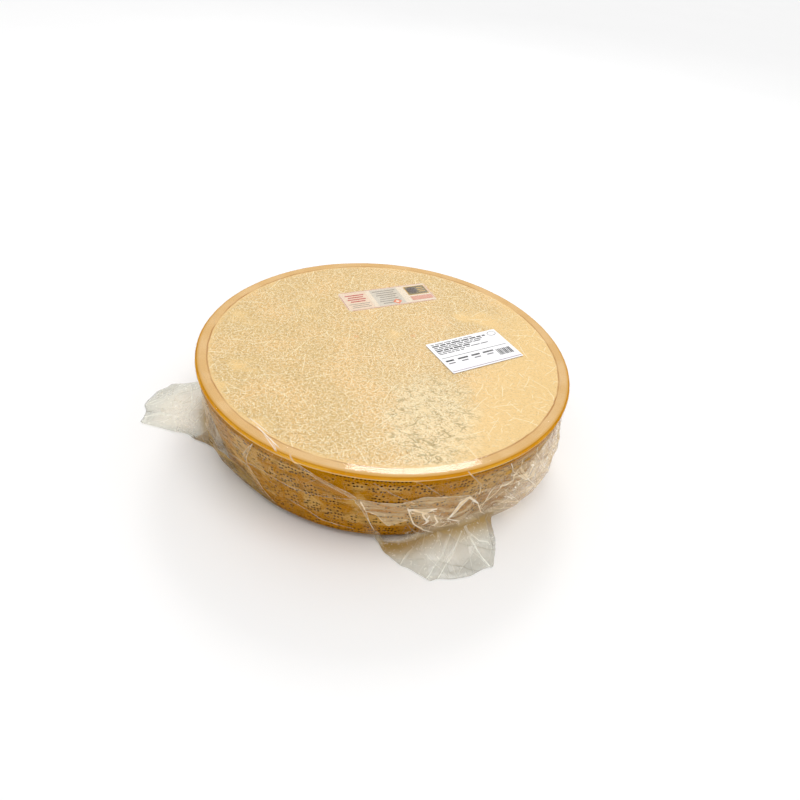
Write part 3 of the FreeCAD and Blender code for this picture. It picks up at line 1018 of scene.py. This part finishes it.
def shape_side(vert, heading, slack, ends):
    """Shapes one point of the bag's side and notes its looks."""
    radius, height, run = math.hypot(vert.co.x, vert.co.y), vert.co.z, vert[run_layer]
    turn = math.radians(heading)
    level = height * MM
    loose = slack * smoothed(height, 0.100, 0.072)
    waves, relief = crumple(turn * HEEL_MEAN_RADIUS, height)
    radius += slack * slack_off(height) + loose * SLACK_RUCKS * relief
    across, strength, rise, width = fold_at(heel_folds, heading, level, HEEL_STRETCH)
    milky, brown, tail = MILK_TIGHT + MILK_SLACK * loose, 0.0, 0.0
    for amount, browned, outline in MILKY:
        if inside(outline, heading, level):
            milky, brown = max(milky, amount), max(brown, browned)
    knot = smoothed(from_middle(CRUMPLED, heading, level), 1.1, 0.6)
    radius += knot * KNOT_RUCKS * (1 + relief)
    loose = max(loose, 0.9 * knot)
    radius += (rise / MM) * smoothed(run, 0.0, 0.06)
    for reach, top in ends:
        if run <= leave_run or reach <= 0:
            continue
        along = (run - leave_run) / (1 - leave_run)
        share = smoothed(reach, 0.0, 0.022)
        out, up = loose_end(reach, top, along)
        x, y = math.cos(turn) * out, math.sin(turn) * out
        lift = smoothed(along, 0.10, 0.45) * smoothed(along, 1.0, 0.88) * smoothed(top, 0.0, 0.012)
        ground_waves, ground_relief = crumple(x * GROUND_COARSER, y * GROUND_COARSER)
        ground_fold = fold_at(ground_folds, x * MM, y * MM, 1.0)
        up += (ground_relief * GROUND_RUCKS + ground_fold[2] / MM) * lift
        out += noise.noise(Vector((heading * 0.35, along, 0))) * 0.004 * smoothed(along, 0.5, 1.0)
        radius += (out - radius) * share
        height += (max(0.0004, up) - height) * share
        loose = max(loose, share * smoothed(along, 0.20, 0.45))
        milky += (MILK_ENDS - milky) * share * smoothed(along, 0.25, 0.45)
        tail = max(tail, share * smoothed(along, 0.26, 0.40))
        if smoothed(along, 0.28, 0.5) * share > 0.5:
            waves = ground_waves
            across, strength, rise, width = ground_fold
    height = max(0.0001, height)
    bulge = from_middle(BULGE, heading, height * MM)
    if bulge < 1:
        radius = max(radius, heel_radius(height) + BULGE_OUT * smoothed(bulge, 1.0, 0.15))
    vert.co = (math.cos(turn) * radius, math.sin(turn) * radius, height)
    # Beside the heel a loose end is painted milky and brown: the heel seen through it, and painted shade from
    # the wheel
    beside = tail * smoothed(radius - heel_radius(height), 0.036, 0.012)
    vert[loose_layer] = loose
    vert[tail_layer] = tail
    vert[haze_layer] = milky + (MILK_BESIDE - milky) * beside
    vert[warm_layer] = max(brown, beside)
    vert[fold_layer] = (across, strength, min(3.0, width))
    vert[wave_layer] = waves
    return radius


columns = {}
for vert in bag.verts:
    if math.hypot(vert.co.x, vert.co.y) > 1e-6:
        column = round(math.degrees(math.atan2(vert.co.y, vert.co.x)) / 360 * FILM_COLUMNS) % FILM_COLUMNS
        columns.setdefault(column, []).append(vert)
for column, line in sorted(columns.items()):
    heading = (crowded(column * 360 / FILM_COLUMNS) + 270) % 360 - 270
    turn = math.radians(heading)
    slack = max(s["share"] * hump(heading, s["heading"], s["half_width"]) for s in SLACKS)
    ends = [end_at(edge, heading) for edge in LOOSE_ENDS]
    foot = FOOT_RADIUS
    for vert in sorted(line, key=lambda v: v[run_layer]):
        radius, run = math.hypot(vert.co.x, vert.co.y), vert[run_layer]
        if 0 <= run <= 1:
            foot = shape_side(vert, heading, slack, ends)
            continue
        height = vert.co.z if run < 0 else 0.0001
        radius = radius if run < 0 else foot * (2 - run)
        vert.co = (math.cos(turn) * radius, math.sin(turn) * radius, height)
        vert[haze_layer] = MILK_FACE if run < 0 else MILK_FLOOR
        vert[fold_layer] = (9.0, 0.0, 0.0)
bmesh.ops.recalc_face_normals(bag, faces=bag.faces)


# What white film takes on: over the heel, on the floor, beside the heel, in the dark lines of a
# loose end, in its painted highlights, and in the painted highlight along the golden rim
FILM_OVER_HEEL = srgb(250, 226, 186)
FILM_ON_FLOOR = srgb(240, 240, 226)
# Brown of the heel seen through the film; beside the heel it also stands for painted shade
FILM_BROWN = srgb(168, 136, 74)
FILM_SHADE = srgb(138, 134, 116)
FILM_BRIGHT = srgb(255, 252, 244)
# Painted highlight along the golden rim
FILM_RIM_HIGHLIGHT = srgb(255, 216, 140)
FILM_SHADOW = (0.90, 0.89, 0.87, 1)
MOST_MILKY = 0.92
FOLD_LINE, FOLD_LINE_CORE = 0.0010, 0.0003
FILM_RELIEF = 0.0005
GLOSS, GLOSS_LESS_ON_PASTE, GLOSS_AT_EDGE = 0.046, 0.022, 0.32


def make_crease():
    """One straight crease: how surely a place lies on it."""
    effect, given, result = group(
        "straight crease",
        [("Place", "Vector"), ("Start", "Vector"), ("Way", "Vector"),
         ("Length", "Float"), ("Width", "Float")],
        [("Mask", "Float")])
    place, start, way, length, width = given.outputs[:5]
    off = vectors("SUBTRACT", place, start)
    along = vectors("DOT_PRODUCT", off, way)
    across = maths("ABSOLUTE", parts_of(vectors("CROSS_PRODUCT", off, way))[2])
    line = step(maths("DIVIDE", across, width), 1.0, 0.3)
    middle = apart(maths("DIVIDE", along, length), 0.5)
    fill(result, {0: both(line, step(middle, 0.5, 0.25))})
    return effect


def face_creases(place):
    """All the straight creases over the cut face, as how white they make it."""
    crease = make_crease()
    white = None
    for x, y, heading, length, width, amount in FACE_CREASES:
        turn = math.radians(heading)
        start, way = (x / MM, y / MM, 0), (math.cos(turn), math.sin(turn), 0)
        mask = both(grouped(crease, place, start, way, length / MM, width / MM)[0], amount)
        white = mask if white is None else either(white, mask)
    return white


def fold_looks(place, fold):
    """Folds of the film: a pleat's milk, and the painted highlights along the edges of a pleat or the line of
    a crease.
    """
    across, strength, half_width = parts_of(fold)
    across = maths("ABSOLUTE", across)
    pleat = both(step(across, 1.15, 0.85), strength)
    edge = both(step(apart(across, 0.95), 0.28, 0.04), step(half_width, 0.8, 1.2))
    narrow = both(step(across, 0.85, 0.25), step(half_width, 1.25, 0.95))
    fades = ramp(step(cloudy(place, 46.0, 2.0), 0.40, 0.60), 0.75, 0.25)
    return pleat, both(both(either(edge, narrow), fades), strength)


def crumple_looks(place, waves, loose, tail):
    """Crumpled film: its bright lines, which are painted highlights, the dark lines of a loose end, and a
    value for each facet.
    """
    lines, cells = [], []
    for wave, (_, spacing, _) in zip(parts_of(waves), CRUMPLE):
        count = both(wave, 2.0)
        near = minus(0.5, apart(maths("FRACT", count), 0.5))
        lines.append(step(near, FOLD_LINE / spacing, FOLD_LINE_CORE / spacing))
        cells.append(maths("FLOOR", count))
    comes_and_goes = both(step(cloudy(place, 30.0, 2.0), 0.46, 0.62), loose)
    bright = both(either(lines[0], lines[2]), comes_and_goes)
    dark = both(both(lines[1], comes_and_goes), tail)
    facet = node(place.id_data, "ShaderNodeTexWhiteNoise", noise_dimensions="1D")
    fill(facet, {"W": ramp(cells[0], 7.31, cells[1])})
    return bright, dark, facet.outputs["Value"]


def make_film_material():
    """Clear film: it shows what lies under it, milky where it is loose, and glossy all over."""
    material, tree, output, place = new_material("film")
    x, y, height = parts_of(place)
    radius = vectors("LENGTH", scaled(place, 1, 1, 0))
    warm, tail, haze, loose = [attribute(tree, name) for name in ("warm", "tail", "haze", "loose")]
    on_side = step(height, CUT_FACE + 0.0001, CUT_FACE - 0.0020)
    on_face = rest(on_side)
    on_paste = both(on_face, step(radius, RIND_EDGE + 0.0005, RIND_EDGE - 0.002))
    on_ring = minus(on_face, on_paste)

    pleat, edge = fold_looks(place, attribute(tree, "fold", "Vector"))
    lines, dark_lines, facet = crumple_looks(place, attribute(tree, "waves", "Vector"), loose, tail)
    # glints: painted highlights, white specks on the crumpled facets
    specks = cloudy(place, 260.0, 2.0, 0.5, 1.2)
    glints = both(step(specks, 0.62, 0.67), both(loose, step(facet, 0.35, 0.75)))
    wrinkles = cloudy(scaled(place, 1, 1, 0.6), 150.0, 3.0, 0.6, 0.6)
    unrolled = after("ShaderNodeCombineXYZ", round_heel(x, y), height).outputs[0]
    spread = after("ShaderNodeMix", on_side, *[None] * 3, place, unrolled, data_type="VECTOR").outputs[1]
    hairs = stroked(spread, (0.21, 0.63), 48.0, 0.75, 0.022, 0.3)
    creases = both(face_creases(place), on_face)
    # rim_highlight: a painted highlight along the line where the tight film lets go of the rim
    rim_highlight = both(step(apart(height, RIM_LINE), 0.0009, 0.0003), step(y, 0.06, 0.0))

    # facet_share: painted shading, each facet's milk a little lighter or darker as if it faced the light
    # differently
    facet_share = ramp(both(minus(facet, 0.5), loose), 0.65, 1.0)
    streaks = step(cloudy(scaled(spread, 1, 5, 1), 30.0, 3.0, 0.6, 0.8), 0.38, 0.62)
    streaks = both(minus(streaks, 0.5), both(on_side, rest(tail)))
    milk = both(both(haze, facet_share), ramp(wrinkles, 0.4, 0.80))
    milk = both(milk, ramp(streaks, 0.9, 1.0))
    # bright: painted highlights of fold edges, crumple lines, glints and the rim line, with the white of the
    # face's creases and the heel's hairs
    bright = total(
        both(edge, 0.95),
        both(lines, ramp(tail, -0.20, 0.34)),
        both(glints, ramp(tail, -0.35, 0.75)),
        both(rim_highlight, 0.55),
        both(creases, 0.9),
        both(both(hairs, on_side), 0.20))
    white = total(milk, both(pleat, 0.50), both(dark_lines, 0.30), bright)
    white = maths("MINIMUM", white, MOST_MILKY)

    fine = grouped(strokes, place, 280.0, 0.66, 0.18, 0.9)[0]
    relief = total(
        both(wrinkles, ramp(on_side, 0.5, 0.12)),
        both(lines, 0.8),
        both(edge, 0.8),
        both(both(fine, on_paste), 0.9),
        both(hairs, ramp(on_ring, 1.6, 0.25)))
    normal = bumped(relief, FILM_RELIEF)

    tint = mixed(tail, FILM_OVER_HEEL, FILM_ON_FLOOR)
    tint = mixed(warm, tint, FILM_BROWN)
    tint = mixed(both(dark_lines, 0.8), tint, FILM_SHADE)
    # painted highlights whiten the film's body colour
    tint = mixed(maths("MINIMUM", bright, 1.0), tint, FILM_BRIGHT)
    tint = mixed(rim_highlight, tint, FILM_RIM_HIGHLIGHT)
    body = principled(tree, None, Base_Color=tint, Roughness=0.5, Specular_IOR_Level=0.0, Normal=normal)
    clear = node(tree, "ShaderNodeBsdfTransparent")
    gloss = node(tree, "ShaderNodeBsdfAnisotropic")
    fill(gloss, {"Roughness": ramp(on_paste, 0.28, ramp(loose, 0.06, 0.06)), "Normal": normal})
    facing = fill(node(tree, "ShaderNodeLayerWeight"), {"Blend": 0.5, "Normal": normal})
    level = step(height, CUT_FACE + 0.00036, CUT_FACE + 0.00043)
    base = ramp(on_paste, -GLOSS_LESS_ON_PASTE, both(either(loose, level), GLOSS))
    glint = ramp(maths("POWER", facing.outputs["Facing"], 5.0), GLOSS_AT_EDGE, base)
    see_through = node(tree, "ShaderNodeMixShader", white, clear.outputs[0], body.outputs[0])
    seen = node(tree, "ShaderNodeMixShader", glint, see_through.outputs[0], gloss.outputs[0])
    lit = node(tree, "ShaderNodeBsdfTransparent", FILM_SHADOW)
    in_shadow = node(tree, "ShaderNodeLightPath").outputs["Is Shadow Ray"]
    whole = node(tree, "ShaderNodeMixShader", in_shadow, seen.outputs[0], lit.outputs[0])
    fill(output, {"Surface": whole.outputs[0]})
    return material


film = finished(bag, "film", make_film_material())
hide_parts("film_bag")


# ---- The weight label ------------------------------------------------------------------
# A white thermal label stuck on top of the film. The printer's dark lines are plain bars here,
# with an empty oval, a rule across and a block of upright stripes.

WEIGHT_LABEL = {"turn": 34.0, "x": 0.104, "y": 0.019}
THERMAL_WHITE = srgb(250, 249, 250)
THERMAL_BLACK = srgb(24, 22, 26)
THERMAL_GREY = srgb(92, 88, 94)
THERMAL_EDGE = srgb(150, 128, 150)
WORD_GAP = 1.6

repaint("weight_label", make_paper_material("thermal paper", THERMAL_WHITE, 0.42))

# Rows of bars: how far up each lies, how tall it is and how far it runs, in mm
TEXT_ROWS = (
    (27, 1.3, 58), (23.4, 2.5, 76), (19.8, 1.6, 66), (16.6, 1.6, 58), (13.2, 2.5, 44), (9.6, 1.4, 62),
    (6.6, 1.2, 34))
ROW_START = -45.0

ticket = Print()
for level, tall, reach in TEXT_ROWS:
    start, word = ROW_START, 0
    while start < ROW_START + reach:
        long = 4.5 + (word * 7 + int(level)) % 9
        ticket.field(THERMAL_BLACK, start + long / 2, level, long, tall)
        start += long + WORD_GAP
        word += 1
ticket.disc(THERMAL_BLACK, 41, 23.5, 12, 8.5)
ticket.disc(THERMAL_WHITE, 41, 23.5, 10.6, 7.1)
ticket.field(THERMAL_BLACK, -1, -1.5, 92, 0.7)
for column in range(4):
    ticket.field(THERMAL_BLACK, -40 + column * 18, -8, 11 + (column * 3) % 5, 2.8)
    ticket.field(THERMAL_GREY, -40 + column * 18, -13, 9, 1.8)
for bar in range(9):
    ticket.field(THERMAL_BLACK, 25 + bar * 2.3, -14, 0.9 + 0.7 * ((bar * 5) % 3 > 0), 12)
ticket.field(THERMAL_EDGE, 0, -28.2, 98, 0.9)
ticket.lay(WEIGHT_LABEL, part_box("weight_label")[1].z)
weight_print = finished(ticket.shape, "weight_print", make_print_material("thermal ink", 0.45), smooth=False)


# ---- The studio ------------------------------------------------------------------------
# A plain pale floor, an even sky that is darker low down and a wide soft sun nearly overhead. A
# soft box behind the wheel is mirrored in the film in front: that is the glare on the ring.

SKY_LOW, SKY_HIGH = 0.44, 0.84     # strength of the sky at the horizon and overhead
SUN_POWER, SUN_SPREAD = 1.0, 40
BOX_POWER, BOX_WIDTH, BOX_HEIGHT = 9.5, 0.55, 0.46
FLOOR_GREY, FLOOR_WHITE = srgb(247, 247, 247), srgb(250, 250, 250)
LENS, SENSOR_WIDTH = 32.0, 36.0
CAMERA_PLACE = (0.0237, -0.6919, 0.5750)
CAMERA_DOWN, CAMERA_ROLL = 37.59, 7.22


def make_floor():
    material, tree, output, place = new_material("floor")
    tone = mixed(cloudy(place, 3.0, 2.0), FLOOR_GREY, FLOOR_WHITE)
    principled(tree, output, Base_Color=tone, Roughness=0.7)
    shape = bmesh.new()
    bmesh.ops.create_grid(shape, x_segments=1, y_segments=1, size=12.0)
    mesh = bpy.data.meshes.new("floor")
    shape.to_mesh(mesh)
    shape.free()
    mesh.materials.append(material)
    floor = linked("floor", mesh)


def place_lamp(name, kind, place, aim, power):
    lamp = bpy.data.lights.new(name, kind)
    lamp.energy = power
    holder = linked(name, lamp)
    holder.location = place
    holder.rotation_euler = (Vector(aim) - Vector(place)).to_track_quat("-Z", "Y").to_euler()
    return lamp


def make_sky():
    """An even sky whose strength rises from the horizon to overhead."""
    world = bpy.data.worlds.new("studio")
    bpy.context.scene.world = world
    world.use_nodes = True
    tree = world.node_tree
    up = parts_of(node(tree, "ShaderNodeTexCoord").outputs["Generated"])[2]
    strength = after("ShaderNodeMapRange", up, 0.0, 1.0, SKY_LOW, SKY_HIGH).outputs[0]
    fill(tree.nodes["Background"], {"Color": (1.0, 1.0, 1.0, 1.0), "Strength": strength})


def make_camera():
    data = bpy.data.cameras.new("camera")
    data.lens, data.sensor_width = LENS, SENSOR_WIDTH
    camera = linked("camera", data)
    tilt = Matrix.Rotation(math.radians(90 - CAMERA_DOWN), 4, "X")
    roll = Matrix.Rotation(math.radians(CAMERA_ROLL), 4, "Z")
    camera.matrix_world = Matrix.Translation(CAMERA_PLACE) @ tilt @ roll
    bpy.context.scene.camera = camera


make_floor()
make_sky()
sun = place_lamp("sun", "SUN", (0.5, -0.5, 3.0), (0, 0, 0), SUN_POWER)
sun.angle = math.radians(SUN_SPREAD)
glare = place_lamp("glare", "AREA", (0.12, 1.68, 1.69), (0.04, -0.13, 0.115), BOX_POWER)
glare.shape = "RECTANGLE"
glare.size, glare.size_y = BOX_WIDTH, BOX_HEIGHT
make_camera()
bpy.context.scene.view_settings.view_transform = "Standard"
